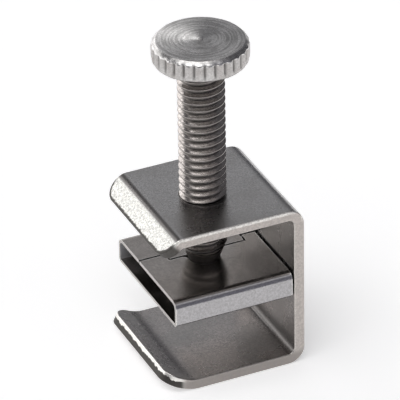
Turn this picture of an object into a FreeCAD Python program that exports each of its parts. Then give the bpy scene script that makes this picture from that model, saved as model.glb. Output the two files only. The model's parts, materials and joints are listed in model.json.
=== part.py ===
import FreeCAD, Part
import Sketcher
import math
import os

# Open-sided screw clamp for flexible tubing.  Millimetres, +Z up.
# The origin is on the screw axis, at the underside of the bracket's lower leg.
# +X runs from the open side to the back plate, and Y runs across the bent strip.
# The jaw and the screw stand at their rest height, jaw_rest above the base.

Vector = FreeCAD.Vector
THREAD_DEPTH = 0.6134  # depth of a metric external thread, as a share of its pitch

SIZES = (
    ("strip_width", 17.5, "bracket strip, across Y"),
    ("strip_thick", 1.4, "bracket strip thickness"),
    ("frame_height", 22.4, "bracket, underside to top"),
    ("back_offset", 9.7, "screw axis to the outer face of the back plate"),
    ("back_bend", 0.8, "inner radius of the two bends at the back plate"),
    ("upper_corner", 7.27, "screw axis to the sharp outer corner of the upper lip"),
    ("upper_lip", 3.14, "upper lip, outer corner to end"),
    ("upper_lip_angle", 42.0, "upper lip, degrees turned down"),
    ("upper_lip_bend", 0.4, "inner radius of the upper lip's bend"),
    ("lower_corner", 6.0, "screw axis to the sharp outer corner of the lower lip"),
    ("lower_lip", 4.0, "lower lip, outer corner to end"),
    ("lower_lip_angle", 26.0, "lower lip, degrees turned up"),
    ("lower_lip_bend", 4.6, "inner radius of the lower lip's bend"),
    ("lip_round", 2.2, "lip corners, rounded in plan"),
    ("edge_round", 0.15, "tumbled edges of the strip"),
    ("thread_diameter", 6.0, "thread, nominal"),
    ("thread_pitch", 1.0, "thread pitch, one start, right hand"),
    ("crest_relief", 0.03, "screw's crest below the nominal radius"),
    ("thread_play", 0.1, "radial clearance of the screw in its tapped hole"),
    ("head_diameter", 12.1, "thumbscrew head over the ridges"),
    ("head_thick", 2.9, "thumbscrew head thickness"),
    ("head_top_bevel", 0.55, "bevel at the head's top edge"),
    ("head_low_bevel", 0.3, "bevel at the head's lower edge"),
    ("ridge_count", 28, "ridges round the head"),
    ("ridge_depth", 0.3, "depth of the grooves between the ridges"),
    ("pip_diameter", 0.7, "turning pip at the centre of the head"),
    ("pip_proud", 0.1, "turning pip above the head"),
    ("shank_length", 28.0, "conical tail and thread, from the neck to the head's underside"),
    ("tail_length", 2.5, "conical tail between the thread and the neck"),
    ("neck_step", 0.35, "step from the button in to the neck"),
    ("neck_play", 0.08, "radial clearance of the neck in the jaw's roof"),
    ("button_bevel", 0.4, "bevel at the button's end"),
    ("end_play", 0.1, "clearance above and below the button"),
    ("jaw_width", 17.5, "jaw across Y"),
    ("jaw_height", 3.5, "jaw height"),
    ("jaw_front", 7.8, "screw axis to the jaw's front end"),
    ("jaw_back_gap", 0.25, "jaw's back end to the back plate"),
    ("jaw_wall", 0.4, "jaw sheet thickness"),
    ("jaw_top_round", 1.1, "outer radius along the jaw's top edges"),
    ("jaw_low_round", 0.6, "outer radius along the jaw's bottom edges"),
    ("jaw_rest", 9.75, "height of the jaw's underside at rest"),
    ("seam_offset", 2.4, "screw axis to the seam in the jaw's roof"),
    ("seam_gap", 0.3, "seam between the jaw's two flaps"),
    ("tab_to_front", 4.1, "screw axis to the front end of the far flap's tab"),
    ("tab_to_back", 5.95, "screw axis to the back end of the far flap's tab"),
    ("tab_edge", 1.15, "screw axis to the tab's edge, across Y"),
    ("tab_gap", 0.3, "gap round the tab"),
    ("notch_round", 0.7, "rounding where the near flap's recess meets the neck hole"),
)


# Sizes that follow from the ones above, as expressions for the features to be bound to.
ROOF = "(sizes.jaw_rest + sizes.jaw_height)"
HEAD_UNDER = f"({ROOF} + sizes.end_play + sizes.shank_length)"
CREST = "(sizes.thread_diameter / 2 - sizes.crest_relief)"
# The button is as wide as the thread's root, so that it passes through the tapped hole.
BUTTON = f"({CREST} - {THREAD_DEPTH} * sizes.thread_pitch)"
NECK = f"({BUTTON} - sizes.neck_step)"


def make_sheet(document):
    """Put the driving dimensions in a spreadsheet with one alias each."""
    table = document.addObject("Spreadsheet::Sheet", "sizes")
    for row, (alias, value, meaning) in enumerate(SIZES, start=1):
        table.set(f"A{row}", meaning)
        table.set(f"B{row}", str(value))
        table.setAlias(f"B{row}", alias)
    document.recompute()
    return table


def size(alias):
    """Read one driving dimension back from the sheet."""
    return float(sheet.get(alias))


def origin_feature(body, role):
    """Find a plane or an axis of a body's own origin."""
    for feature in body.Origin.OriginFeatures:
        if feature.Role == role:
            return feature
    raise ValueError(f"{body.Name} has no {role}")


def new_body(name):
    """Start an empty body."""
    body = doc.addObject("PartDesign::Body", name)
    body.Label = name
    return body


def new_sketch(body, name, role, height=None):
    """Start a sketch on one of the body's origin planes, raised by an expression if one is given."""
    sketch = body.newObject("Sketcher::SketchObject", name)
    sketch.AttachmentSupport = [(origin_feature(body, role), "")]
    sketch.MapMode = "FlatFace"
    if height:
        sketch.setExpression(".AttachmentOffset.Base.z", height)
    return sketch


def bind(sketch, constraint, name, expression):
    """Add one dimension to a sketch and bind it to the sheet."""
    index = sketch.addConstraint(constraint)
    sketch.renameConstraint(index, name)
    sketch.setExpression(f"Constraints.{name}", expression)


def draw_outline(sketch, corners):
    """Draw a closed outline of straight lines, each corner held by its own two expressions."""
    count = len(corners)
    for index in range(count):
        start = 2 * math.pi * index / count
        stop = 2 * math.pi * (index + 1) / count
        line = Part.LineSegment(
            Vector(10 * math.cos(start), 10 * math.sin(start), 0),
            Vector(10 * math.cos(stop), 10 * math.sin(stop), 0),
        )
        sketch.addGeometry(line, False)
    for index in range(count):
        sketch.addConstraint(Sketcher.Constraint("Coincident", index, 2, (index + 1) % count, 1))
    for index, (name, across, along) in enumerate(corners):
        bind(sketch, Sketcher.Constraint("DistanceX", -1, 1, index, 1, 1.0), f"{name}_a", across)
        bind(sketch, Sketcher.Constraint("DistanceY", -1, 1, index, 1, 1.0), f"{name}_b", along)


def draw_circle(sketch, name, radius, along=None):
    """Draw a circle at the sketch's origin, or on its first axis at a distance given by an expression."""
    index = sketch.addGeometry(Part.Circle(Vector(5, 0, 0), Vector(0, 0, 1), 1.0), False)
    bind(sketch, Sketcher.Constraint("Radius", index, 1.0), f"{name}_radius", radius)
    if along:
        sketch.addConstraint(Sketcher.Constraint("PointOnObject", index, 3, -1))
        bind(sketch, Sketcher.Constraint("DistanceX", -1, 1, index, 3, 5.0), f"{name}_along", along)
    else:
        sketch.addConstraint(Sketcher.Constraint("Coincident", index, 3, -1, 1))


def pad(body, sketch, name, length, midplane=False):
    """Pad a sketch by a length given as an expression."""
    feature = body.newObject("PartDesign::Pad", name)
    feature.Profile = sketch
    feature.setExpression("Length", length)
    feature.Midplane = midplane
    doc.recompute()
    return feature


def pocket_up(body, sketch, name, length):
    """Cut a sketch's outline upwards, and make sure that it removed metal."""
    before = body.Shape.Volume
    feature = body.newObject("PartDesign::Pocket", name)
    feature.Profile = sketch
    feature.Reversed = True
    feature.setExpression("Length", length)
    doc.recompute()
    if body.Shape.Volume >= before:
        raise ValueError(f"{name} cut nothing")
    return feature


def round_edges(body, name, chosen, radius):
    """Fillet the edges of the body's last feature that the test picks."""
    base = body.Tip
    edges = [f"Edge{number}" for number, edge in enumerate(base.Shape.Edges, start=1) if chosen(edge)]
    if not edges:
        raise ValueError(f"{name} found no edge")
    feature = body.newObject("PartDesign::Fillet", name)
    feature.Base = (base, edges)
    feature.setExpression("Radius", radius)
    base.Visibility = False
    doc.recompute()
    return feature


def along(edge, direction):
    """Say whether a straight edge runs along a direction."""
    if not isinstance(edge.Curve, Part.Line):
        return False
    return abs(abs(edge.Curve.Direction.dot(direction)) - 1) < 1e-6


def crosses(edge, direction, point, slack=1e-3):
    """Say whether an edge runs along a direction and passes through a point."""
    if not along(edge, direction):
        return False
    offset = edge.valueAt(edge.FirstParameter) - point
    return (offset - direction * offset.dot(direction)).Length < slack


# --- threads -----------------------------------------------------------------------------


def thread_section(crest, root, pitch, height):
    """Cut square across a 60 degree thread: crest arc, flank, root arc, flank.

    One turn about the axis is one pitch along it, so the crest flat, the flanks and the
    root flat of the thread's profile each take their share of the turn.
    """
    crest_half = 1 / 16
    flank = (crest - root) * math.tan(math.radians(30)) / pitch
    phase = height / pitch

    def at(radius, turn):
        angle = 2 * math.pi * (turn + phase)
        return Vector(radius * math.cos(angle), radius * math.sin(angle), height)

    def spiral(first, first_turn, last, last_turn):
        steps = 8
        points = [
            at(first + (last - first) * step / steps, first_turn + (last_turn - first_turn) * step / steps)
            for step in range(steps + 1)
        ]
        curve = Part.BSplineCurve()
        curve.interpolate(points)
        return curve.toShape()

    falls = crest_half + flank
    rises = 1 - falls
    return Part.Wire([
        Part.Arc(at(crest, -crest_half), at(crest, 0), at(crest, crest_half)).toShape(),
        spiral(crest, crest_half, root, falls),
        Part.Arc(at(root, falls), at(root, 0.5), at(root, rises)).toShape(),
        spiral(root, rises, crest, 1 - crest_half),
    ])


def one_turn(crest, root, pitch, low):
    """Twist the thread's cross-section up the axis through one turn, open at both ends."""
    spine = Part.Wire([Part.LineSegment(Vector(0, 0, low), Vector(0, 0, low + pitch)).toShape()])
    helix = Part.makeHelix(pitch, pitch, crest)
    helix.translate(Vector(0, 0, low))
    sweep = Part.BRepOffsetAPI.MakePipeShell(spine)
    sweep.setAuxiliarySpine(Part.Wire(helix.Edges), True, 0)
    sweep.add(thread_section(crest, root, pitch, low))
    sweep.build()
    return sweep.shape()


def threaded_rod(crest, root, pitch, low, high):
    """Stack whole turns from a low level to at least a high one, and close the ends."""
    turn = one_turn(crest, root, pitch, low)
    start = thread_section(crest, root, pitch, low)
    turns = math.ceil((high - low) / pitch)
    faces = []
    for number in range(turns):
        lifted = turn.copy()
        lifted.translate(Vector(0, 0, number * pitch))
        faces.extend(lifted.Faces)
    end = start.copy()
    end.translate(Vector(0, 0, turns * pitch))
    faces.append(Part.Face(start))
    faces.append(Part.Face(end))
    skin = Part.Compound(faces)
    skin.sewShape(1e-5)
    rod = Part.Solid(skin.Shells[0])
    if rod.Volume < 0:
        rod.reverse()
    return rod


def thread_radii():
    """Give the screw's crest and root radii."""
    crest = size("thread_diameter") / 2 - size("crest_relief")
    return crest, crest - THREAD_DEPTH * size("thread_pitch")


def rod_feature(name, growth, low, high):
    """Hold a threaded rod in the document, larger than the screw's by a radial growth."""
    crest, root = thread_radii()
    feature = doc.addObject("Part::Feature", name)
    feature.Shape = threaded_rod(crest + growth, root + growth, size("thread_pitch"), low, high)
    feature.Placement = FreeCAD.Placement()
    return feature


# --- bracket -----------------------------------------------------------------------------


def make_bracket():
    """Bend the strip into an open C with both lips turned inwards, and tap its upper leg."""
    body = new_body("bracket_strip")
    profile = new_sketch(body, "strip_profile", "XZ_Plane")
    t = "sizes.strip_thick"
    top = "sizes.frame_height"
    back = "sizes.back_offset"
    up = "sizes.upper_lip_angle * 1 deg"
    low = "sizes.lower_lip_angle * 1 deg"
    upper_x = f"-sizes.upper_corner - sizes.upper_lip * cos({up})"
    upper_z = f"{top} - sizes.upper_lip * sin({up})"
    lower_x = f"-sizes.lower_corner - sizes.lower_lip * cos({low})"
    lower_z = f"sizes.lower_lip * sin({low})"
    draw_outline(profile, (
        ("back_low", back, "0"),
        ("back_top", back, top),
        ("upper_out", "-sizes.upper_corner", top),
        ("upper_end_out", upper_x, upper_z),
        ("upper_end_in", f"{upper_x} + {t} * sin({up})", f"{upper_z} - {t} * cos({up})"),
        ("upper_in", f"-sizes.upper_corner + {t} * tan({up} / 2)", f"{top} - {t}"),
        ("inner_top", f"{back} - {t}", f"{top} - {t}"),
        ("inner_low", f"{back} - {t}", t),
        ("lower_in", f"-sizes.lower_corner + {t} * tan({low} / 2)", t),
        ("lower_end_in", f"{lower_x} + {t} * sin({low})", f"{lower_z} + {t} * cos({low})"),
        ("lower_end_out", lower_x, lower_z),
        ("lower_out", "-sizes.lower_corner", "0"),
    ))
    pad(body, profile, "strip", "sizes.strip_width", midplane=True)

    across = Vector(0, 1, 0)
    thick = size("strip_thick")
    height = size("frame_height")
    outer = size("back_offset")
    upper_corner = -size("upper_corner")
    lower_corner = -size("lower_corner")
    upper_turn = math.radians(size("upper_lip_angle"))
    lower_turn = math.radians(size("lower_lip_angle"))
    upper_inner = upper_corner + thick * math.tan(upper_turn / 2)
    lower_inner = lower_corner + thick * math.tan(lower_turn / 2)
    bends = (
        ("back_top_outer", outer, height, "sizes.back_bend + sizes.strip_thick"),
        ("back_low_outer", outer, 0, "sizes.back_bend + sizes.strip_thick"),
        ("back_top_inner", outer - thick, height - thick, "sizes.back_bend"),
        ("back_low_inner", outer - thick, thick, "sizes.back_bend"),
        ("upper_lip_outer", upper_corner, height, "sizes.upper_lip_bend + sizes.strip_thick"),
        ("upper_lip_inner", upper_inner, height - thick, "sizes.upper_lip_bend"),
        ("lower_lip_outer", lower_corner, 0, "sizes.lower_lip_bend + sizes.strip_thick"),
        ("lower_lip_inner", lower_inner, thick, "sizes.lower_lip_bend"),
    )
    for name, x, z, radius in bends:
        round_edges(body, name, lambda edge: crosses(edge, across, Vector(x, 0, z)), radius)

    upper_out = Vector(math.sin(upper_turn), 0, -math.cos(upper_turn))
    lower_out = Vector(math.sin(lower_turn), 0, math.cos(lower_turn))

    def is_lip_corner(edge):
        """An edge through the strip's thickness, at a corner of either lip's end."""
        return along(edge, upper_out) or along(edge, lower_out)

    round_edges(body, "lip_corners", is_lip_corner, "sizes.lip_round")

    half = size("strip_width") / 2

    def is_side_edge(edge):
        """An edge of either cut side face."""
        box = edge.BoundBox
        return box.YLength < 1e-6 and abs(abs(box.YMin) - half) < 1e-6

    round_edges(body, "tumbled_edges", is_side_edge, "sizes.edge_round")

    tap = rod_feature("tap", size("thread_play"), height - 2 * thick, height + thick)
    bracket = doc.addObject("Part::Cut", "bracket")
    bracket.Label = "bracket"
    bracket.Base = body
    bracket.Tool = tap
    return bracket


# --- jaw ---------------------------------------------------------------------------------


def make_jaw():
    """Fold the flat sleeve that presses on the tube, with its seam and neck hole in the roof."""
    body = new_body("pressure_jaw")
    half = "sizes.jaw_width / 2"
    wall = "sizes.jaw_wall"
    low = "sizes.jaw_rest"
    top = "sizes.jaw_rest + sizes.jaw_height"
    section = new_sketch(body, "sleeve_section", "YZ_Plane", "-sizes.jaw_front")
    draw_outline(section, (
        ("outer_near_low", f"-{half}", low),
        ("outer_far_low", half, low),
        ("outer_far_top", half, top),
        ("outer_near_top", f"-{half}", top),
    ))
    length = "sizes.jaw_front + sizes.back_offset - sizes.strip_thick - sizes.jaw_back_gap"
    pad(body, section, "sleeve_block", length)

    lengthwise = Vector(1, 0, 0)
    y = size("jaw_width") / 2
    z_low = size("jaw_rest")
    z_top = z_low + size("jaw_height")

    def at_height(z, reach):
        """Pick the two long edges at a height, a reach either side of the middle."""
        return lambda edge: any(crosses(edge, lengthwise, Vector(0, side * reach, z)) for side in (-1, 1))

    round_edges(body, "top_folds", at_height(z_top, y), "sizes.jaw_top_round")
    round_edges(body, "low_folds", at_height(z_low, y), "sizes.jaw_low_round")

    inside = new_sketch(body, "sleeve_inside", "YZ_Plane", "-sizes.jaw_front")
    draw_outline(inside, (
        ("inner_near_low", f"-{half} + {wall}", f"{low} + {wall}"),
        ("inner_far_low", f"{half} - {wall}", f"{low} + {wall}"),
        ("inner_far_top", f"{half} - {wall}", f"{top} - {wall}"),
        ("inner_near_top", f"-{half} + {wall}", f"{top} - {wall}"),
    ))
    pocket_up(body, inside, "sleeve_hollow", length)
    inner = y - size("jaw_wall")
    round_edges(body, "top_folds_inside", at_height(z_top - size("jaw_wall"), inner),
                "sizes.jaw_top_round - sizes.jaw_wall")
    round_edges(body, "low_folds_inside", at_height(z_low + size("jaw_wall"), inner),
                "sizes.jaw_low_round - sizes.jaw_wall")

    middle = "sizes.jaw_rest + sizes.jaw_height / 2"
    through_roof = "sizes.jaw_height"
    beyond = "sizes.jaw_front + sizes.back_offset"
    near = "sizes.seam_offset - sizes.seam_gap / 2"
    far = "sizes.seam_offset + sizes.seam_gap / 2"
    recess_front = "-(sizes.tab_to_front + sizes.tab_gap)"
    recess_back = "sizes.tab_to_back + sizes.tab_gap"
    recess_edge = "sizes.tab_edge - sizes.tab_gap"
    seam = new_sketch(body, "seam_outline", "XY_Plane", middle)
    draw_outline(seam, (
        ("front_near", f"-({beyond})", near),
        ("recess_front_near", recess_front, near),
        ("recess_front", recess_front, recess_edge),
        ("recess_back", recess_back, recess_edge),
        ("recess_back_near", recess_back, near),
        ("back_near", beyond, near),
        ("back_far", beyond, far),
        ("tab_back_far", "sizes.tab_to_back", far),
        ("tab_back", "sizes.tab_to_back", "sizes.tab_edge"),
        ("tab_front", "-sizes.tab_to_front", "sizes.tab_edge"),
        ("tab_front_far", "-sizes.tab_to_front", far),
        ("front_far", f"-({beyond})", far),
    ))
    pocket_up(body, seam, "seam", through_roof)
    hole = new_sketch(body, "neck_hole_outline", "XY_Plane", middle)
    draw_circle(hole, "neck_hole", f"{NECK} + sizes.neck_play")
    pocket_up(body, hole, "neck_hole", through_roof)

    upright = Vector(0, 0, 1)
    root = thread_radii()[1]
    hole_radius = root - size("neck_step") + size("neck_play")
    recess_y = size("tab_edge") - size("tab_gap")
    mouth = math.sqrt(hole_radius ** 2 - recess_y ** 2)

    def is_mouth(edge):
        """An upright edge where the recess meets the neck hole."""
        return any(crosses(edge, upright, Vector(side * mouth, recess_y, 0)) for side in (-1, 1))

    round_edges(body, "notch_mouth", is_mouth, "sizes.notch_round")
    return body


# --- thumbscrew --------------------------------------------------------------------------


def make_head():
    """Turn the head and raise its ridges, then bevel both edges through the ridges."""
    body = new_body("screw_head")
    under = HEAD_UNDER
    radius = "sizes.head_diameter / 2"
    thick = "sizes.head_thick"
    core = new_sketch(body, "head_core_outline", "XY_Plane", under)
    draw_circle(core, "core", f"{radius} - sizes.ridge_depth")
    pad(body, core, "head_core", thick)

    # Each ridge is a round bar whose sides meet the next bar's at the groove.
    half_chord = f"{radius} * sin(180 deg / sizes.ridge_count)"
    bar = f"({half_chord} * {half_chord} / sizes.ridge_depth + sizes.ridge_depth) / 2"
    bar_sketch = new_sketch(body, "ridge_outline", "XY_Plane", under)
    draw_circle(bar_sketch, "ridge", bar, f"{radius} - {bar}")
    bar_pad = pad(body, bar_sketch, "ridge", thick)

    ring = body.newObject("PartDesign::PolarPattern", "ridge_ring")
    ring.Originals = [bar_pad]
    ring.Axis = (origin_feature(body, "Z_Axis"), [""])
    ring.Angle = 360
    ring.setExpression("Occurrences", "sizes.ridge_count")
    body.Tip = ring
    doc.recompute()

    beyond = f"{radius} + sizes.head_thick"
    cuts = (
        ("top_bevel", f"{under} + {thick}", "sizes.head_top_bevel", "-"),
        ("low_bevel", under, "sizes.head_low_bevel", "+"),
    )
    for name, level, bevel, inward in cuts:
        before = body.Shape.Volume
        outline = new_sketch(body, f"{name}_outline", "XZ_Plane")
        outward = "+" if inward == "-" else "-"
        draw_outline(outline, (
            ("inner", f"{radius} - {bevel}", level),
            ("outer", beyond, f"{level} {inward} ({bevel} + sizes.head_thick)"),
            ("clear", beyond, f"{level} {outward} {bevel}"),
            ("above", f"{radius} - {bevel}", f"{level} {outward} {bevel}"),
        ))
        groove = body.newObject("PartDesign::Groove", name)
        groove.Profile = outline
        groove.ReferenceAxis = (outline, ["V_Axis"])
        groove.Angle = 360
        doc.recompute()
        if body.Shape.Volume >= before:
            raise ValueError(f"{name} cut nothing")

    pip = new_sketch(body, "pip_outline", "XY_Plane", f"{under} + {thick}")
    draw_circle(pip, "pip", "sizes.pip_diameter / 2")
    pad(body, pip, "pip", "sizes.pip_proud")
    return body


def revolved_body(name, corners):
    """Revolve a straight-sided outline, drawn in XZ, about the screw axis."""
    body = new_body(name)
    outline = new_sketch(body, f"{name}_outline", "XZ_Plane")
    draw_outline(outline, corners)
    turned = body.newObject("PartDesign::Revolution", f"{name}_turned")
    turned.Profile = outline
    turned.ReferenceAxis = (outline, ["V_Axis"])
    turned.Angle = 360
    doc.recompute()
    return body


def make_thumbscrew():
    """Join the head, the threaded shank with its conical tail, the neck and the button."""
    head = make_head()
    neck_top = f"{ROOF} + sizes.end_play"
    button_top = f"{ROOF} - sizes.jaw_wall - sizes.end_play"
    button_low = "sizes.jaw_rest + sizes.jaw_wall + sizes.end_play"
    tail = revolved_body("screw_tail", (
        ("end_middle", "0", button_low),
        ("end_edge", f"{BUTTON} - sizes.button_bevel", button_low),
        ("button_side", BUTTON, f"{button_low} + sizes.button_bevel"),
        ("button_shoulder", BUTTON, button_top),
        ("neck_low", NECK, button_top),
        ("neck_top", NECK, neck_top),
        ("top_middle", "0", neck_top),
    ))
    # The cone runs on past the crest, so that the shank above the tail is left whole.
    cone_length = "(sizes.tail_length + sizes.thread_pitch)"
    cone_radius = f"{NECK} + ({CREST} - {NECK}) * {cone_length} / sizes.tail_length"
    inside_head = f"{HEAD_UNDER} + sizes.head_thick / 2"
    envelope = revolved_body("shank_envelope", (
        ("neck_middle", "0", neck_top),
        ("neck_edge", NECK, neck_top),
        ("cone_edge", cone_radius, f"{neck_top} + {cone_length}"),
        ("head_edge", cone_radius, inside_head),
        ("head_middle", "0", inside_head),
    ))
    low = size("jaw_rest") + size("jaw_height")
    high = low + size("end_play") + size("shank_length") + size("head_thick")
    rod = rod_feature("thread", 0.0, low, high)
    shank = doc.addObject("Part::Common", "shank")
    shank.Base = rod
    shank.Tool = envelope
    screw = doc.addObject("Part::MultiFuse", "thumbscrew")
    screw.Label = "thumbscrew"
    screw.Shapes = [head, shank, tail]
    return screw


def check(document, nodes):
    """Refuse to write anything if a feature failed or a shape is not one valid solid."""
    for item in document.Objects:
        if "Invalid" in item.State or "Error" in item.State:
            raise ValueError(f"{item.Name} failed: {item.State}")
    for node in nodes:
        shape = node.Shape
        if shape.isNull() or not shape.isValid() or len(shape.Solids) != 1:
            raise ValueError(f"{node.Label} is not one valid solid")


doc = FreeCAD.newDocument("screw_clamp")
sheet = make_sheet(doc)
NODES = (make_bracket(), make_jaw(), make_thumbscrew())
doc.recompute()
check(doc, NODES)
os.makedirs("parts", exist_ok=True)
for node in NODES:
    node.Shape.exportStep(f"parts/{node.Label}.step")
    box = node.Shape.optimalBoundingBox(False)
    print(f"{node.Label}: {box.XLength:.2f} x {box.YLength:.2f} x {box.ZLength:.2f} mm, "
          f"{node.Shape.Volume:.1f} mm3")
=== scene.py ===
"""Looks of an open-sided screw clamp for flexible tubing.

The bracket and the folded pressure jaw keep their solids from the frame and get their plated finishes here.
The thumbscrew is turned, threaded and ridged here as two meshes that stand for its solid.
"""

import json
import logging
import math
from collections.abc import Callable, Iterator
from contextlib import contextmanager
from dataclasses import dataclass
from enum import Enum

import bmesh
import bpy
from mathutils import Matrix, Vector

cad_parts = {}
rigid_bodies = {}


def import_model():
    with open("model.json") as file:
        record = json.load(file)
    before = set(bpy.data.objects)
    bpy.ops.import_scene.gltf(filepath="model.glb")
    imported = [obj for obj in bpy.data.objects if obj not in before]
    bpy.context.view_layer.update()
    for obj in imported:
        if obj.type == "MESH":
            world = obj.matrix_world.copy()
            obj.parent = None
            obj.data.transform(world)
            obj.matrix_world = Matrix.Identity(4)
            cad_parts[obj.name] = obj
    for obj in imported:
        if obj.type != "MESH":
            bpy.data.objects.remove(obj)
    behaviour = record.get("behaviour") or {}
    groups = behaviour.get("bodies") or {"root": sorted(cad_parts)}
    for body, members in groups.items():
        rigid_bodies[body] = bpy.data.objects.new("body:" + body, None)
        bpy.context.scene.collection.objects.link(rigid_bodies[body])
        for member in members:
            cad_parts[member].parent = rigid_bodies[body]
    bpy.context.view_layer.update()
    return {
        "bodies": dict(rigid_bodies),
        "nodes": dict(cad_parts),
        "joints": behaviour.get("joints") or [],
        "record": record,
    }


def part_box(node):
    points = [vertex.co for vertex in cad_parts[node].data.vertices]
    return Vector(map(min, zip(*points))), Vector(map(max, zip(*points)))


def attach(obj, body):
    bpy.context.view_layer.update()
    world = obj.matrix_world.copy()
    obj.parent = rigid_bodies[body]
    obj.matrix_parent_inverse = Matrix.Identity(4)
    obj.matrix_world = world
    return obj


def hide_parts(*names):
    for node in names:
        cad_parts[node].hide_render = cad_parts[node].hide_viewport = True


LOG = logging.getLogger("clamp")
MM = 0.001
TINY = 0.0001 * MM
WELD = 0.001 * MM
SMOOTH_ANGLE = math.radians(38)
Colour = tuple[float, float, float]
Edge = tuple[float, float]
# Bright colour of burnished faces and of edges, where it is partly a painted highlight.
POLISH_AND_HIGHLIGHT: Colour = (0.88, 0.86, 0.82)
# Colour of painted shade on the bent strip.
PAINTED_SHADE: Colour = (0.13, 0.12, 0.115)
SHADE: Colour = (0.10, 0.095, 0.09)
Material = bpy.types.Material
Piece = bpy.types.Object
Socket = bpy.types.NodeSocket
Tree = bpy.types.NodeTree
Sockets = dict[str, Socket]
Layers = tuple[Socket, Socket, tuple[tuple[Socket, float], ...]]


class Body(Enum):
    """The clamp's three moving groups, as the frame names them."""

    FRAME = "frame"
    JAW = "jaw"
    SCREW = "screw"


class Node(Enum):
    """The frame's solids."""

    BRACKET = "bracket"
    JAW = "pressure_jaw"
    SCREW = "thumbscrew"


class Slot(Enum):
    """The record's material slots."""

    BRACKET = "bracket_plate"
    JAW = "jaw_sheet"
    SCREW = "screw_steel"


# --- shader building ---


@dataclass(frozen=True)
class Coat:
    """A colour laid over what is under it, and the share of that which it hides."""

    colour: Colour
    strength: float = 1.0


@dataclass(frozen=True)
class Spot:
    """The place being shaded, along each axis of its piece."""

    x: Socket
    y: Socket
    z: Socket


class Graph:
    """A node tree that is filled node by node."""

    def __init__(self, tree: Tree) -> None:
        """Start on an empty tree."""
        self.tree = tree
        tree.nodes.clear()

    def add(self, kind: str, **settings: object) -> bpy.types.Node:
        """Add a node and set its attributes by name."""
        node = self.tree.nodes.new(kind)
        for name, value in settings.items():
            setattr(node, name, value)
        return node

    def feed(self, socket: Socket, value: object) -> None:
        """Give an input socket a link or a fixed value.

        Args:
            socket: the input.
            value: an output socket to join it to, or the value to set.
        """
        if isinstance(value, Socket):
            self.tree.links.new(value, socket)
        else:
            socket.default_value = value

    def math(self, operation: str, first: object, second: object = 0.0, third: object = 0.0) -> Socket:
        """Add a Math node.

        Args:
            operation: what the node works out.
            first, second, third: sockets or numbers.

        Returns:
            The node's result.
        """
        node = self.add("ShaderNodeMath", operation=operation)
        for socket, value in zip(node.inputs, (first, second, third)):
            self.feed(socket, value)
        return node.outputs["Value"]

    def less(self, first: object, second: object) -> Socket:
        """Take the second value from the first."""
        return self.math("SUBTRACT", first, second)

    def times(self, *values: object) -> Socket:
        """Multiply values together."""
        product = values[0]
        for value in values[1:]:
            product = self.math("MULTIPLY", product, value)
        return product

    def length(self, first: object, second: object) -> Socket:
        """Work out a length from its parts along two square directions."""
        return self.math("SQRT", self.math("ADD", self.times(first, first), self.times(second, second)))

    def ramp(self, value: object, low: float, high: float) -> Socket:
        """Turn a value into a mask with eased ends, 0 at the low value and 1 at the high one."""
        node = self.add("ShaderNodeMapRange", interpolation_type="SMOOTHSTEP")
        self.feed(node.inputs["Value"], value)
        self.feed(node.inputs["From Min"], low)
        self.feed(node.inputs["From Max"], high)
        return node.outputs["Result"]

    def within(self, value: object, edge: Edge) -> Socket:
        """Turn a length into a mask whose edge says, in millimetres, where it is 0 and where it is 1."""
        return self.ramp(value, edge[0] * MM, edge[1] * MM)

    def blend(self, share: object, first: object, second: object) -> Socket:
        """Blend two colours by a share."""
        node = self.add("ShaderNodeMix", data_type="RGBA")
        self.feed(node.inputs["Factor"], share)
        for socket, value in zip([s for s in node.inputs if s.type == "RGBA"], (first, second)):
            self.feed(socket, (*value, 1) if isinstance(value, tuple) else value)
        return next(s for s in node.outputs if s.type == "RGBA")

    def coat(self, under: object, mask: object, coat: Coat) -> Socket:
        """Lay a coat over a colour where a mask says."""
        return self.blend(self.times(mask, coat.strength), under, coat.colour)

    def vector(self, operation: str, first: object, second: object) -> bpy.types.Node:
        """Add a Vector Math node on two values."""
        node = self.add("ShaderNodeVectorMath", operation=operation)
        self.feed(node.inputs[0], first)
        self.feed(node.inputs["Scale" if operation == "SCALE" else 1], second)
        return node

    def lerp(self, share: object, first: object, second: object) -> Socket:
        """Blend two numbers by a share."""
        node = self.add("ShaderNodeMix", data_type="FLOAT")
        for socket, value in ((0, share), (2, first), (3, second)):
            self.feed(node.inputs[socket], value)
        return node.outputs[0]

    def place(self, scale: tuple[float, float, float] = (1, 1, 1)) -> Socket:
        """Read the surface's own place, stretched along each axis."""
        source = self.add("ShaderNodeTexCoord")
        mapping = self.add("ShaderNodeMapping")
        self.feed(mapping.inputs["Vector"], source.outputs["Object"])
        mapping.inputs["Scale"].default_value = scale
        return mapping.outputs["Vector"]

    def split(self, vector: Socket) -> Spot:
        """Split a vector into its three parts."""
        node = self.add("ShaderNodeSeparateXYZ")
        self.feed(node.inputs["Vector"], vector)
        return Spot(*node.outputs)

    def spot(self) -> Spot:
        """Read the surface's own place, part by part."""
        return self.split(self.place())

    def normal(self) -> Spot:
        """Read the way the face looks, part by part."""
        return self.split(self.add("ShaderNodeNewGeometry").outputs["True Normal"])

    def join(self, x: Socket, y: Socket, z: Socket) -> Socket:
        """Join three parts into a vector."""
        node = self.add("ShaderNodeCombineXYZ")
        for socket, value in zip(node.inputs, (x, y, z)):
            self.feed(socket, value)
        return node.outputs["Vector"]

    def noise(self, vector: object, scale: object, detail: float = 2.0, rough: float = 0.5) -> Socket:
        """Add soft noise.

        Args:
            vector: where it is read.
            scale: how many lumps there are in a metre.
            detail: how many finer layers it has.
            rough: how strong the finer layers are.

        Returns:
            The noise, about 0.5.
        """
        node = self.add("ShaderNodeTexNoise")
        self.feed(node.inputs["Vector"], vector)
        self.feed(node.inputs["Scale"], scale)
        self.feed(node.inputs["Detail"], detail)
        self.feed(node.inputs["Roughness"], rough)
        return node.outputs["Fac"]

    def ragged(self, value: object, noise: Socket, width: float) -> Socket:
        """Move a value up and down by half a width with a noise."""
        return self.math("MULTIPLY_ADD", self.less(noise, 0.5), width, value)

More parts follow.
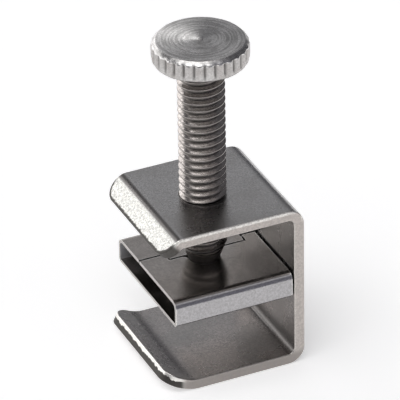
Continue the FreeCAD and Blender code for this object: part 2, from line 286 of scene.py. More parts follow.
    def effect(self, group: Tree, **values: object) -> Sockets:
        """Place an effect group with its inputs set by name, and give its outputs by name."""
        node = self.add("ShaderNodeGroup", node_tree=group)
        for name, value in values.items():
            self.feed(node.inputs[name.title()], value)
        return {socket.name: socket for socket in node.outputs}


def new_effect(name: str, inputs: dict[str, float], outputs: tuple[str, ...]) -> tuple[Graph, object, object]:
    """Start a node group; give its graph, its given values and the sockets for its results."""
    tree = bpy.data.node_groups.new(name, "ShaderNodeTree")
    for label, value in inputs.items():
        socket = tree.interface.new_socket(name=label, in_out="INPUT", socket_type="NodeSocketFloat")
        socket.default_value = value
    for label in outputs:
        tree.interface.new_socket(name=label, in_out="OUTPUT", socket_type="NodeSocketFloat")
    graph = Graph(tree)
    return graph, graph.add("NodeGroupInput").outputs, graph.add("NodeGroupOutput").inputs


class Effects:
    """The surface effects that the clamp's finishes share."""

    def __init__(self) -> None:
        """Build each group once."""
        self.grain = self.build_grain()
        self.pits = self.build_pits()
        self.smudges = self.build_smudges()
        self.edges = self.build_edges()
        self.rings = self.build_rings()

    @staticmethod
    def build_grain() -> Tree:
        """Make rolled lines that run along the bent strip, so across Y they are close together."""
        graph, given, out = new_effect("rolled_grain", {"Across": 9000.0, "Along": 500.0}, ("Height",))
        spot = graph.spot()
        stretched = graph.join(
            graph.times(spot.x, given["Along"]),
            graph.times(spot.y, given["Across"]),
            graph.times(spot.z, given["Along"]),
        )
        graph.feed(out["Height"], graph.noise(stretched, scale=1.0, detail=3.0, rough=0.6))
        return graph.tree

    @staticmethod
    def build_pits() -> Tree:
        """Make the fine orange peel of the plating, with a few deeper pits."""
        graph, given, out = new_effect("plating_pits", {"Scale": 5000.0, "Depth": 0.5}, ("Height",))
        cells_share = 0.6
        place = graph.place()
        peel = graph.noise(place, given["Scale"], detail=2.0, rough=0.6)
        cells = graph.add("ShaderNodeTexVoronoi", feature="F1")
        graph.feed(cells.inputs["Vector"], place)
        graph.feed(cells.inputs["Scale"], graph.times(given["Scale"], cells_share))
        pit = graph.ramp(cells.outputs["Distance"], low=0.35, high=0.05)
        sparse = graph.ramp(graph.noise(place, scale=2600.0), low=0.55, high=0.66)
        graph.feed(out["Height"], graph.less(peel, graph.times(pit, sparse, given["Depth"])))
        return graph.tree

    @staticmethod
    def build_smudges() -> Tree:
        """Make the cloudy stains that handling and plating leave, and a fine speckle."""
        graph, given, out = new_effect("handling_smudges", {"Scale": 160.0, "Seed": 0.0}, ("Mask", "Speckle"))
        shifted = graph.vector("ADD", graph.place(), given["Seed"])
        cloud = graph.noise(shifted.outputs["Vector"], given["Scale"], detail=4.0, rough=0.65)
        graph.feed(out["Mask"], graph.ramp(cloud, low=0.25, high=0.78))
        fine = graph.noise(shifted.outputs["Vector"], scale=3800.0, detail=3.0, rough=0.8)
        graph.feed(out["Speckle"], graph.ramp(fine, low=0.36, high=0.64))
        return graph.tree

    @staticmethod
    def build_edges() -> Tree:
        """Find the edges, where the plating is painted brighter: partly the polish that handling and tumbling
        leave, partly a painted highlight along the edge.
        """
        graph, given, out = new_effect("edge_polish_and_highlight", {"Width": 0.12 * MM}, ("Mask",))
        rounded = graph.add("ShaderNodeBevel", samples=4)
        graph.feed(rounded.inputs["Radius"], given["Width"])
        plain = graph.add("ShaderNodeNewGeometry")
        turn = graph.vector("DOT_PRODUCT", rounded.outputs["Normal"], plain.outputs["True Normal"])
        graph.feed(out["Mask"], graph.ramp(turn.outputs["Value"], low=0.995, high=0.90))
        return graph.tree

    @staticmethod
    def build_rings() -> Tree:
        """Make the rings that a lathe leaves about the screw's axis, faded out at the centre."""
        graph, given, out = new_effect("turning_rings", {"Rings": 3400.0}, ("Height", "Scratch"))
        drift = 0.9
        spot = graph.spot()
        radius = graph.length(spot.x, spot.y)
        angle = graph.math("ARCTAN2", spot.y, spot.x)
        curled = graph.join(
            graph.times(radius, given["Rings"]),
            graph.times(graph.math("COSINE", angle), drift),
            graph.times(graph.math("SINE", angle), drift),
        )
        away = graph.within(radius, (0.3, 2.2))
        rings = graph.noise(curled, scale=1.0, detail=2.0, rough=0.6)
        graph.feed(out["Height"], graph.lerp(away, 0.5, rings))
        broken = graph.noise(curled, scale=0.37, detail=3.0, rough=0.7)
        graph.feed(out["Scratch"], graph.times(away, graph.ramp(broken, low=0.60, high=0.70)))
        return graph.tree


@dataclass(frozen=True)
class Plating:
    """A nickel-plated finish.

    The colours are how the clean and the stained metal reflect; the heights are in metres.
    """

    name: str
    clean: Colour
    stained: Colour
    roughness: float
    stain_roughness: float
    peel_height: float
    grain_height: float = 0.0
    stain_scale: float = 160.0
    seed: float = 0.0

    def layers(self, graph: Graph, effects: Effects, stains: Sockets, rough: Socket) -> Layers:
        """Say how the finish looks.

        Args:
            graph: the material's graph.
            effects: the shared effects.
            stains: this finish's own smudges.
            rough: the roughness of the clean and the stained metal.

        Returns:
            The colour, the roughness, and each height with its size in metres.
        """
        raise NotImplementedError

    def material(self, effects: Effects) -> Material:
        """Build the material."""
        material = bpy.data.materials.new(self.name)
        material.use_nodes = True
        graph = Graph(material.node_tree)
        stains = graph.effect(effects.smudges, scale=self.stain_scale, seed=self.seed)
        rough = graph.lerp(stains["Mask"], self.roughness, self.stain_roughness)
        colour, rough, heights = self.layers(graph, effects, stains, rough)
        total: object = 0.0
        for height, size in heights:
            total = graph.math("MULTIPLY_ADD", height, size / MM, total)
        bump = graph.add("ShaderNodeBump")
        bump.inputs["Distance"].default_value = MM
        graph.feed(bump.inputs["Height"], total)
        shader = graph.add("ShaderNodeBsdfPrincipled")
        shader.inputs["Metallic"].default_value = 1.0
        graph.feed(shader.inputs["Base Color"], colour)
        graph.feed(shader.inputs["Roughness"], rough)
        graph.feed(shader.inputs["Normal"], bump.outputs["Normal"])
        out = graph.add("ShaderNodeOutputMaterial")
        graph.feed(out.inputs["Surface"], shader.outputs["BSDF"])
        return material


@dataclass(frozen=True)
class BracketFinish(Plating):
    """Satin nickel on the bent strip: rolled faces, cut sides and a pitted upper lip painted bright as a
    painted highlight, with painted shade at the bend, inner corners, foot and lip rim.

    Each edge says where a mask is 0 and where it is 1, in millimetres.
    """

    # painted highlight: the upper lip is painted a much brighter copy of the plating
    lip_highlight_colour: Colour = (0.95, 0.94, 0.90)
    side_colour: Colour = (0.56, 0.515, 0.485)
    low_colour: Colour = (0.54, 0.50, 0.485)
    # bright colour of polished edges and burnished faces, partly a painted highlight
    polish_and_highlight_colour: Colour = POLISH_AND_HIGHLIGHT
    speckle: Coat = Coat((0.20, 0.193, 0.19), 0.45)
    side_speckle: Coat = Coat((0.30, 0.28, 0.265), 0.5)
    lip_pits: Coat = Coat((0.26, 0.25, 0.235), 0.65)
    # painted shade: a dark band along the upper bend
    bend_painted_shade: Coat = Coat(PAINTED_SHADE, 0.8)
    # painted shade on the back plate's inner face
    inner_painted_shade: Coat = Coat(PAINTED_SHADE, 0.45)
    # painted shade: the cut sides darker towards the floor
    foot_painted_shade: Coat = Coat(PAINTED_SHADE, 0.5)
    # painted shade in the lower inner corner, over a bright reflection
    corner_painted_shade: Coat = Coat((0.045, 0.042, 0.04), 0.62)
    # painted shade: a dark reflection on the upper lip's rolled rim
    rim_painted_shade: Coat = Coat((0.07, 0.065, 0.06), 0.95)
    torn_metal: Coat = Coat((0.08, 0.075, 0.07))
    side_roughness: float = 0.42
    lip_roughness: float = 0.34
    edge_roughness: float = 0.22
    torn_roughness: float = 0.5
    lip_peel: float = 6.0
    wear_and_highlight_within: float = 0.85
    wear_and_highlight_outside: float = 0.15
    height: float = 22.4 * MM
    back: float = 9.7 * MM
    high_corner: float = -7.27 * MM
    high_angle: float = math.radians(42)
    low_corner: float = -6.0 * MM
    low_angle: float = math.radians(26)
    half_width: float = 8.75 * MM
    high_lip: float = 3.14 * MM
    lip_round: float = 2.2 * MM
    torn_from: float = 0.88 * MM
    torn_teeth: float = 0.9 * MM
    rim_teeth: float = 0.5 * MM
    # band under the top face: burnished metal, also a painted highlight along the top edge
    burnished: Edge = (0.51, 0.39)
    burnished_level: Edge = (20.4, 21.2)
    upper_level: Edge = (16.0, 17.0)
    lower_level: Edge = (9.0, 5.0)
    lip_past_corner: Edge = (-0.25, -0.5)
    bend_from_corner: Edge = (0.5, 0.2)
    cut_side: Edge = (8.60, 8.65)
    foot_level: Edge = (2.2, 1.0)
    inner_back: Edge = (7.2, 8.2)
    inner_level: Edge = (21.1, 20.9)
    corner_back: Edge = (7.3, 7.8)
    corner_level: Edge = (4.2, 2.6)
    outer_back: Edge = (9.2, 9.5)
    outer_foot: Edge = (0.5, 0.2)
    rim_from_round: Edge = (-0.50, -0.28)
    rim_past_corner: Edge = (0.5, 1.3)
    end_depth: Edge = (2.0, 1.6)
    end_front: Edge = (-6.5, -7.4)
    torn_line: Edge = (0.04, -0.04)

    def depth_under(self, graph: Graph, spot: Spot, corner: tuple[float, float], slope: float) -> Socket:
        """Measure how deep a place is under a lip's outer face.

        Args:
            graph: the material's graph.
            spot: the place.
            corner: the lip's outer corner, X then Z.
            slope: the lip's slope in radians, positive for a turned-down lip.

        Returns:
            The depth in metres.
        """
        side = math.copysign(1.0, slope)
        along = graph.times(graph.less(spot.x, corner[0]), math.sin(abs(slope)))
        down = graph.times(graph.less(spot.z, corner[1]), -side * math.cos(slope))
        return graph.math("ADD", along, down)

    def high_rim(self, graph: Graph, spot: Spot) -> Socket:
        """Find the rolled rim round the end and the rounded corners of the upper lip, where a dark reflection
        is painted as painted shade.
        """
        out = graph.times(graph.less(spot.x, self.high_corner), -math.cos(self.high_angle))
        down = graph.times(graph.less(spot.z, self.height), -math.sin(self.high_angle))
        along = graph.math("ADD", out, down)
        past = graph.math("MAXIMUM", graph.less(along, self.high_lip - self.lip_round), 0.0)
        wide = graph.less(graph.math("ABSOLUTE", spot.y), self.half_width - self.lip_round)
        reach = graph.length(past, graph.math("MAXIMUM", wide, 0.0))
        teeth = graph.noise(graph.place(), scale=2600.0, detail=2.0, rough=0.6)
        reach = graph.ragged(reach, teeth, self.rim_teeth)
        rim = graph.within(graph.less(reach, self.lip_round), self.rim_from_round)
        return graph.times(rim, graph.within(along, self.rim_past_corner))

    def sheared_end(self, graph: Graph, spot: Spot) -> tuple[Socket, Socket]:
        """Find the lower lip's sheared end: burnished above, torn below, with a ragged line between.

        Returns:
            The mask of the whole end face and the mask of its torn part.
        """
        depth = self.depth_under(graph, spot, (self.low_corner, 0.0), -self.low_angle)
        normal = graph.normal()
        lean = graph.times(normal.x, math.sin(self.low_angle))
        flat = graph.math("ADD", lean, graph.times(normal.z, math.cos(self.low_angle)))
        cut = graph.ramp(graph.math("ABSOLUTE", flat), low=0.6, high=0.3)
        end = graph.times(cut, graph.within(depth, self.end_depth), graph.within(spot.x, self.end_front))
        teeth = graph.noise(graph.place((60, 1500, 60)), scale=1.0, detail=3.0, rough=0.7)
        line = graph.ragged(self.torn_from, teeth, self.torn_teeth)
        torn = graph.within(graph.less(depth, line), self.torn_line)
        return end, graph.times(end, torn)

    def rolled_colour(self, graph: Graph, spot: Spot, stains: Sockets, bend: Socket) -> Socket:
        """Colour the strip's broad faces, with painted shade at the bend and in the inner corners."""
        colour = graph.blend(graph.within(spot.z, self.lower_level), self.clean, self.low_colour)
        colour = graph.blend(stains["Mask"], colour, self.stained)
        colour = graph.coat(colour, stains["Speckle"], self.speckle)
        # painted shade: a dark band along the upper bend
        colour = graph.coat(colour, bend, self.bend_painted_shade)
        inner = graph.times(graph.within(spot.x, self.inner_back), graph.within(spot.z, self.inner_level))
        # painted shade on the back plate's inner face
        colour = graph.coat(colour, inner, self.inner_painted_shade)
        corner = graph.times(graph.within(spot.x, self.corner_back), graph.within(spot.z, self.corner_level))
        # painted shade in the lower inner corner, over a bright reflection
        return graph.coat(colour, corner, self.corner_painted_shade)

    def cut_colour(self, graph: Graph, spot: Spot, stains: Sockets) -> Socket:
        """Colour the strip's cut sides: burnished under the outer faces of the upper bends, which is also a
        painted highlight along the top edge, and painted shade towards the floor.
        """
        flat = graph.math("MINIMUM", graph.less(self.height, spot.z), graph.less(self.back, spot.x))
        under_lip = self.depth_under(graph, spot, (self.high_corner, self.height), self.high_angle)
        depth = graph.math("MINIMUM", flat, under_lip)
        burnished = graph.within(depth, self.burnished)
        burnished = graph.times(burnished, graph.within(spot.z, self.burnished_level))
        # burnished band, also a painted highlight along the top edge
        colour = graph.blend(burnished, self.side_colour, self.polish_and_highlight_colour)
        # painted shade: the cut sides darker towards the floor
        colour = graph.coat(colour, graph.within(spot.z, self.foot_level), self.foot_painted_shade)
        return graph.coat(colour, stains["Speckle"], self.side_speckle)

    def wear_and_highlight(self, graph: Graph, spot: Spot, edges: Socket) -> Socket:
        """Say how bright the edges are painted, as polish and a painted highlight, which is less at the
        back's and the foot's outer faces.
        """
        outer = graph.math(
            "MAXIMUM", graph.within(spot.x, self.outer_back), graph.within(spot.z, self.outer_foot)
        )
        return graph.times(edges, graph.lerp(outer, self.wear_and_highlight_within, self.wear_and_highlight_outside))

    def layers(self, graph: Graph, effects: Effects, stains: Sockets, rough: Socket) -> Layers:
        """Say how the finish looks."""
        spot = graph.spot()
        grain = graph.effect(effects.grain)
        pits = graph.effect(effects.pits, scale=4200.0, depth=0.8)
        edges = graph.effect(effects.edges, width=0.2 * MM)["Mask"]
        high = graph.within(spot.z, self.upper_level)
        past = graph.less(spot.x, self.high_corner)
        lip = graph.times(graph.within(past, self.lip_past_corner), high)
        bend = graph.times(graph.within(graph.math("ABSOLUTE", past), self.bend_from_corner), high)
        side = graph.within(graph.math("ABSOLUTE", spot.y), self.cut_side)
        rim = graph.times(self.high_rim(graph, spot), high)
        end, torn = self.sheared_end(graph, spot)
        colour = self.rolled_colour(graph, spot, stains, bend)
        colour = graph.blend(side, colour, self.cut_colour(graph, spot, stains))
        # painted highlight on the upper lip
        colour = graph.blend(lip, colour, graph.coat(self.lip_highlight_colour, stains["Speckle"], self.lip_pits))
        # edges painted brighter: polish from handling and a painted highlight
        colour = graph.blend(self.wear_and_highlight(graph, spot, edges), colour, self.polish_and_highlight_colour)
        # painted shade: a dark reflection on the upper lip's rolled rim
        colour = graph.coat(colour, rim, self.rim_painted_shade)
        colour = graph.blend(end, colour, self.polish_and_highlight_colour)
        colour = graph.coat(colour, torn, self.torn_metal)
        rough = graph.lerp(side, rough, self.side_roughness)
        rough = graph.lerp(lip, rough, self.lip_roughness)
        rough = graph.lerp(edges, rough, self.edge_roughness)
        rough = graph.lerp(graph.math("MAXIMUM", torn, rim), rough, self.torn_roughness)
        peel = graph.times(pits["Height"], graph.lerp(lip, 1.0, self.lip_peel))
        return colour, rough, ((peel, self.peel_height), (grain["Height"], self.grain_height))


@dataclass(frozen=True)
class JawFinish(Plating):
    """Brighter nickel on the thin folded sheet, with a cooler painted reflection tint on its side folds,
    painted light inside the rougher sleeve, and painted highlights on its edges.
    """

    # painted reflection tint: the side folds are painted a cooler copy of the plating
    side_colour: Colour = (0.48, 0.47, 0.48)
    # painted light: the inside of the sleeve is painted lighter than the plating
    inside_painted_light: Colour = (0.60, 0.60, 0.62)
    # bright colour of polished edges, partly a painted highlight
    polish_and_highlight_colour: Colour = (0.90, 0.88, 0.85)
    speckle: Coat = Coat((0.20, 0.19, 0.185), 0.4)
    inside_roughness: float = 0.6
    half_width: float = 8.75 * MM

    def layers(self, graph: Graph, effects: Effects, stains: Sockets, rough: Socket) -> Layers:
        """Say how the finish looks."""
        grain = graph.effect(effects.grain, across=6000.0, along=300.0)
        pits = graph.effect(effects.pits, scale=5200.0, depth=0.3)
        edges = graph.effect(effects.edges, width=0.2 * MM)["Mask"]
        normal = graph.normal()
        side = graph.ramp(graph.math("ABSOLUTE", normal.y), low=0.35, high=0.85)
        facing_out = graph.times(graph.spot().y, normal.y, 1 / self.half_width)
        inside = graph.ramp(facing_out, low=-0.3, high=-0.7)
        colour = graph.blend(stains["Mask"], self.clean, self.stained)
        # painted reflection tint on the side folds
        colour = graph.blend(side, colour, self.side_colour)
        colour = graph.coat(colour, stains["Speckle"], self.speckle)
        # painted light inside the sleeve
        colour = graph.blend(inside, colour, self.inside_painted_light)
        # edges painted brighter: polish and a painted highlight
        colour = graph.blend(edges, colour, self.polish_and_highlight_colour)
        rough = graph.lerp(inside, rough, self.inside_roughness)
        return colour, rough, ((pits["Height"], self.peel_height), (grain["Height"], self.grain_height))


@dataclass(frozen=True)
class TurnedFinish(Plating):
    """Nickel on lathe-turned steel, with painted shade in the grooves between a pair of radii."""

    cavity: Edge = (0.0, 0.0)
    # painted shade in the grooves and thread roots
    groove_painted_shade: Coat = Coat(SHADE, 0.75)
    cavity_roughness: float = 0.5
    speckle: Coat = Coat((0.30, 0.29, 0.28), 0.5)
    # edges painted brighter: polish and a painted highlight
    edge_wear_and_highlight: Coat = Coat(POLISH_AND_HIGHLIGHT, 0.6)
    scratch: float = 0.5
    ring_height: float = 0.0

    def base(self, graph: Graph, spot: Spot, deep: Socket) -> tuple[object, Socket]:
        """Give the clean colour and the grooves' mask."""
        return self.clean, deep

    def details(self, graph: Graph, spot: Spot, radius: Socket, rings: Socket, colour: Socket) -> Socket:
        """Lay what only one kind of turned part has over its colour."""
        return colour

    def layers(self, graph: Graph, effects: Effects, stains: Sockets, rough: Socket) -> Layers:
        """Say how the finish looks."""
        spot = graph.spot()
        pits = graph.effect(effects.pits, scale=5200.0, depth=0.6)
        rings = graph.effect(effects.rings)
        edges = graph.effect(effects.edges, width=0.1 * MM)["Mask"]
        radius = graph.length(spot.x, spot.y)
        colour, deep = self.base(graph, spot, graph.ramp(radius, self.cavity[1], self.cavity[0]))
        colour = graph.blend(stains["Mask"], colour, self.stained)
        colour = graph.coat(colour, stains["Speckle"], self.speckle)
        # edges painted brighter: polish and a painted highlight
        colour = graph.coat(colour, edges, self.edge_wear_and_highlight)
        colour = graph.blend(graph.times(rings["Scratch"], self.scratch), colour, self.stained)
        colour = self.details(graph, spot, radius, rings["Height"], colour)
        # painted shade in the grooves and thread roots
        colour = graph.coat(colour, deep, self.groove_painted_shade)
        rough = graph.lerp(deep, rough, self.cavity_roughness)
        return colour, rough, ((pits["Height"], self.peel_height), (rings["Height"], self.ring_height))


@dataclass(frozen=True)
class HeadFinish(TurnedFinish):
    """The head: a ringed flat top over a duller ridged side."""

    side_colour: Colour = (0.47, 0.44, 0.425)
    side_below: float = 0.0
    # painted shade in the hollows of the turning rings
    ring_painted_shade: Coat = Coat(SHADE, 0.45)

    def base(self, graph: Graph, spot: Spot, deep: Socket) -> tuple[object, Socket]:
        """Dull the side, and keep the mask of the grooves' painted shade to it."""
        side = graph.ramp(spot.z, self.side_below, self.side_below - 0.1 * MM)
        return graph.blend(side, self.clean, self.side_colour), graph.times(deep, side)

    def details(self, graph: Graph, spot: Spot, radius: Socket, rings: Socket, colour: Socket) -> Socket:
        """Darken the hollows of the rings on the flat top with painted shade."""
        flat = graph.ramp(spot.z, self.side_below, self.side_below + 0.2 * MM)
        hollow = graph.ramp(rings, low=0.60, high=0.38)
        # painted shade in the hollows of the turning rings
        return graph.coat(colour, graph.times(flat, hollow), self.ring_painted_shade)


@dataclass(frozen=True)
class ThreadFinish(TurnedFinish):
    """The shank: painted shade on its crests and undersides, and a painted shadow on its tail."""

    crest_radius: float = 0.0
    tail_shadow_below: float = 0.0
    # painted shade dimming the crests' reflection
    crest_painted_shade: Coat = Coat((0.24, 0.22, 0.21), 0.7)
    # painted shadow on the tail, between the leg and the jaw
    tail_painted_shadow: Coat = Coat(SHADE, 0.6)
    # painted shade on faces that look down
    underside: Coat = Coat(SHADE, 0.75)

    def details(self, graph: Graph, spot: Spot, radius: Socket, rings: Socket, colour: Socket) -> Socket:
        """Darken the crests, the tail and the thread's undersides: painted shade and a painted shadow."""
        crest = graph.within(graph.less(radius, self.crest_radius), (-0.10, -0.03))
        # painted shade dimming the crests' reflection
        colour = graph.coat(colour, crest, self.crest_painted_shade)
        # painted shadow on the tail, between the leg and the jaw
        tail_shadow = graph.ramp(spot.z, self.tail_shadow_below + MM, self.tail_shadow_below - MM)
        colour = graph.coat(colour, tail_shadow, self.tail_painted_shadow)
        # painted shade on faces that look down
        return graph.coat(colour, graph.ramp(graph.normal().z, low=-0.25, high=-0.6), self.underside)


# --- modelling ---


class Bench:
    """Modelling moves that work on one mesh at a time."""

    @staticmethod
    def clear() -> None:
        """Deselect everything."""
        bpy.ops.object.select_all(action="DESELECT")

    @staticmethod
    def hold(piece: Piece) -> None:
        """Select one piece alone and make it active."""
        Bench.clear()
        piece.select_set(True)
        bpy.context.view_layer.objects.active = piece

    @staticmethod
    @contextmanager
    def editing(piece: Piece) -> Iterator[None]:
        """Edit one piece, with its whole mesh selected."""
        Bench.hold(piece)
        bpy.ops.object.mode_set(mode="EDIT")
        bpy.ops.mesh.select_all(action="SELECT")
        yield
        bpy.ops.object.mode_set(mode="OBJECT")

    @staticmethod
    def choose(piece: Piece, test: Callable[[Vector], bool]) -> int:
        """Select the vertices, in edit mode, whose places pass a test.

        Args:
            piece: the mesh being edited.
            test: says yes or no to a place.

        Returns:
            How many were selected.
        """
        bpy.ops.mesh.select_mode(type="VERT")
        bpy.ops.mesh.select_all(action="DESELECT")
        mesh = bmesh.from_edit_mesh(piece.data)
        count = 0
        for vertex in mesh.verts:
            if test(vertex.co):
                vertex.select_set(True)
                count += 1
        mesh.select_flush(True)
        bmesh.update_edit_mesh(piece.data)
        return count

    @staticmethod
    def modify(piece: Piece, kind: str, **settings: object) -> None:
        """Apply one modifier with its settings."""
        modifier = piece.modifiers.new(kind.lower(), kind)
        for name, value in settings.items():
            setattr(modifier, name, value)
        Bench.hold(piece)
        bpy.ops.object.modifier_apply(modifier=modifier.name)

    @staticmethod
    def line(name: str, points: list[tuple[float, float]]) -> Piece:
        """Draw an open line in the XZ plane by extruding one vertex from point to point.

        Args:
            name: the new object's name.
            points: each point's X and Z.

        Returns:
            The line.
        """
        Bench.clear()
        bpy.ops.mesh.primitive_plane_add(size=MM, location=(0, 0, 0))
        piece = bpy.context.object
        piece.name = name
        bpy.ops.object.mode_set(mode="EDIT")
        bpy.ops.mesh.select_mode(type="VERT")
        bpy.ops.mesh.select_all(action="SELECT")
        bpy.ops.mesh.merge(type="CENTER")
        bpy.ops.transform.translate(value=(points[0][0], 0, points[0][1]))
        for (x0, z0), (x1, z1) in zip(points, points[1:]):
            bpy.ops.mesh.extrude_region_move(TRANSFORM_OT_translate={"value": (x1 - x0, 0, z1 - z0)})
        bpy.ops.object.mode_set(mode="OBJECT")
        return piece

    @staticmethod
    def turn(piece: Piece, steps: int, rise: float = 0.0, turns: int = 1) -> None:
        """Turn a line about Z into a surface.

        Args:
            piece: the line.
            steps: flats in one turn.
            rise: how far each turn climbs.
            turns: how many turns.
        """
        Bench.modify(
            piece, "SCREW", axis="Z", angle=2 * math.pi, screw_offset=rise, iterations=turns, steps=steps,
            render_steps=steps, use_merge_vertices=True, merge_threshold=WELD,
        )
        with Bench.editing(piece):
            bpy.ops.mesh.remove_doubles(threshold=WELD)

    @staticmethod
    def outward(piece: Piece) -> None:
        """Point every face outwards."""
        with Bench.editing(piece):
            bpy.ops.mesh.normals_make_consistent(inside=False)

    @staticmethod
    def finish(piece: Piece, body: Body, node: Node, slot: Slot, material: Material) -> None:
        """Smooth a piece, dress it, attach it to its body and hide the solid that it stands for.

        Args:
            piece: the finished mesh, in its place.
            body: the group that it moves with.
            node: the solid that it stands for.
            slot: not used.
            material: its finish.
        """
        Bench.hold(piece)
        bpy.ops.object.transform_apply(location=True, rotation=True, scale=True)
        bpy.ops.object.shade_smooth_by_angle(angle=SMOOTH_ANGLE)
        Bench.modify(piece, "WEIGHTED_NORMAL", keep_sharp=True)
        piece.data.materials.clear()
        piece.data.materials.append(material)
        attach(piece, body.value)
        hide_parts(node.value)
        LOG.info("%s: %d faces on %s", piece.name, len(piece.data.polygons), body.value)


@dataclass
class Thumbscrew:
    """The thumbscrew: a ridged head, a threaded shank with a conical tail, and a neck and button."""

    top: float
    radius: float
    low: float
    head_thick: float = 2.9 * MM
    pip_radius: float = 0.35 * MM
    pip_proud: float = 0.1 * MM
    top_bevel: float = 0.55 * MM
    ridges: int = 28
    ridge_depth: float = 0.34 * MM
    groove_power: float = 2.0
    flats_per_ridge: int = 8
    rim_step: float = 0.08 * MM
    row_reach: float = 0.002 * MM
    soft_edge: float = 0.035 * MM
    soft_angle: float = math.radians(28)
    pitch: float = 1.0 * MM
    crest: float = 2.97 * MM
    thread_depth: float = 0.6134 * MM
    crest_round: float = 0.035 * MM
    shank_length: float = 28.0 * MM
    tail_length: float = 2.5 * MM
    neck_step: float = 0.35 * MM
    neck_length: float = 0.6 * MM
    button_bevel: float = 0.4 * MM
    button_soft: float = 0.06 * MM
    foot_overlap: float = 0.02 * MM
    flats_per_turn: int = 72

    @property
    def face(self) -> float:
        """Height of the head's flat top."""
        return self.top - self.pip_proud

    @property
    def under(self) -> float:
        """Height of the head's underside."""
        return self.face - self.head_thick

    @property
    def root(self) -> float:
        """Radius of the thread's root, and of the button."""
        return self.crest - self.thread_depth

    @property
    def neck(self) -> float:
        """Radius of the neck."""
        return self.root - self.neck_step

    @property
    def neck_top(self) -> float:
        """Height where the tail meets the neck."""
        return self.under - self.shank_length

    def head(self) -> Piece:
        """Model the head: raise its ridges from a plain disc, then its pip."""
        flats = self.ridges * self.flats_per_ridge
        Bench.clear()
        bpy.ops.mesh.primitive_cylinder_add(
            vertices=flats,
            radius=self.radius,
            depth=self.head_thick,
            location=(0, 0, self.under + self.head_thick / 2),
        )
        piece = bpy.context.object
        piece.name = "thumbscrew_head"
        bpy.ops.object.transform_apply(location=True)
        with Bench.editing(piece):
            rows = self.rows()
            for level, _, _ in rows[1:-1]:
                bpy.ops.mesh.select_all(action="SELECT")
                bpy.ops.mesh.bisect(plane_co=(0, 0, level), plane_no=(0, 0, 1), threshold=TINY)
            for level, inset, depth in rows:
                for step in range(self.flats_per_ridge // 2 + 1):
                    self.draw_in(piece, level, step, inset, depth)
            self.raise_pip(piece)
        Bench.modify(
            piece, "BEVEL", width=self.soft_edge, segments=2,
            limit_method="ANGLE", angle_limit=self.soft_angle,
        )
        Bench.outward(piece)
        return piece

    def rows(self) -> list[tuple[float, float, float]]:
        """List the rings of the head's edge: height, how far in, and the grooves' depth there."""
        ring = self.face - self.top_bevel + self.rim_step
        return [
            (self.face, self.top_bevel, 0.0),
            (ring, self.rim_step, 0.12 * self.ridge_depth),
            (ring - 0.12 * MM, 0.0, self.ridge_depth),
            (self.under + 0.95 * MM, 0.0, self.ridge_depth),
            (self.under + 0.62 * MM, 0.02 * MM, 0.6 * self.ridge_depth),
            (self.under + 0.38 * MM, 0.09 * MM, 0.15 * self.ridge_depth),
            (self.under + 0.16 * MM, 0.24 * MM, 0.0),
            (self.under, 0.52 * MM, 0.0),
        ]

    def draw_in(self, piece: Piece, level: float, step: int, inset: float, depth: float) -> None:
        """Move one row's vertices that are a number of flats from a ridge's middle towards the axis."""
        flat = 2 * math.pi / (self.ridges * self.flats_per_ridge)
        half = self.flats_per_ridge // 2

        def belongs(place: Vector) -> bool:
            """Whether a vertex is in this row and this far from its ridge's middle."""
            if abs(place.z - level) > self.row_reach or place.xy.length < 0.5 * self.radius:
                return False
            number = round(math.atan2(place.y, place.x) / flat) % self.flats_per_ridge
            return min(number, self.flats_per_ridge - number) == step

        if Bench.choose(piece, belongs):
            share = 1 - (inset + depth * (step / half) ** self.groove_power) / self.radius
            bpy.ops.transform.resize(value=(share, share, 1), center_override=(0, 0, level))

    def raise_pip(self, piece: Piece) -> None:
        """Turn a shallow step and the small pip on the head's flat top."""
        bpy.ops.mesh.select_mode(type="FACE")
        bpy.ops.mesh.select_all(action="DESELECT")
        mesh = bmesh.from_edit_mesh(piece.data)
        for face in mesh.faces:
            if face.normal.z > 0.9 and len(face.verts) > self.ridges:
                face.select_set(True)
        bmesh.update_edit_mesh(piece.data)
        rise = 0.6 * self.pip_proud
        rounding = 0.3 * self.pip_radius
        bpy.ops.mesh.inset(thickness=self.radius - self.top_bevel - self.pip_radius)
        bpy.ops.mesh.extrude_region_move(TRANSFORM_OT_translate={"value": (0, 0, rise)})
        bpy.ops.mesh.inset(thickness=rounding)
        bpy.ops.transform.translate(value=(0, 0, self.pip_proud - rise))

    def thread_profile(self) -> list[tuple[float, float]]:
        """Draw one pitch of the thread from mid-root to mid-root, its crest rounded a little."""
        half_crest = self.pitch / 16
        flank = self.thread_depth * math.tan(math.radians(30))
        middle = self.pitch / 2
        soft = self.crest_round
        half = [
            (self.root, middle),
            (self.root, half_crest + flank + 0.6 * soft),
            (self.root + 0.6 * soft, half_crest + flank - 0.2 * soft),
            (self.crest - 1.2 * soft, half_crest + 0.7 * soft),
            (self.crest - 0.35 * soft, half_crest + 0.1 * soft),
            (self.crest, half_crest - 0.8 * soft),
        ]
        lower = [(radius, -height) for radius, height in half]
        return lower + half[::-1]

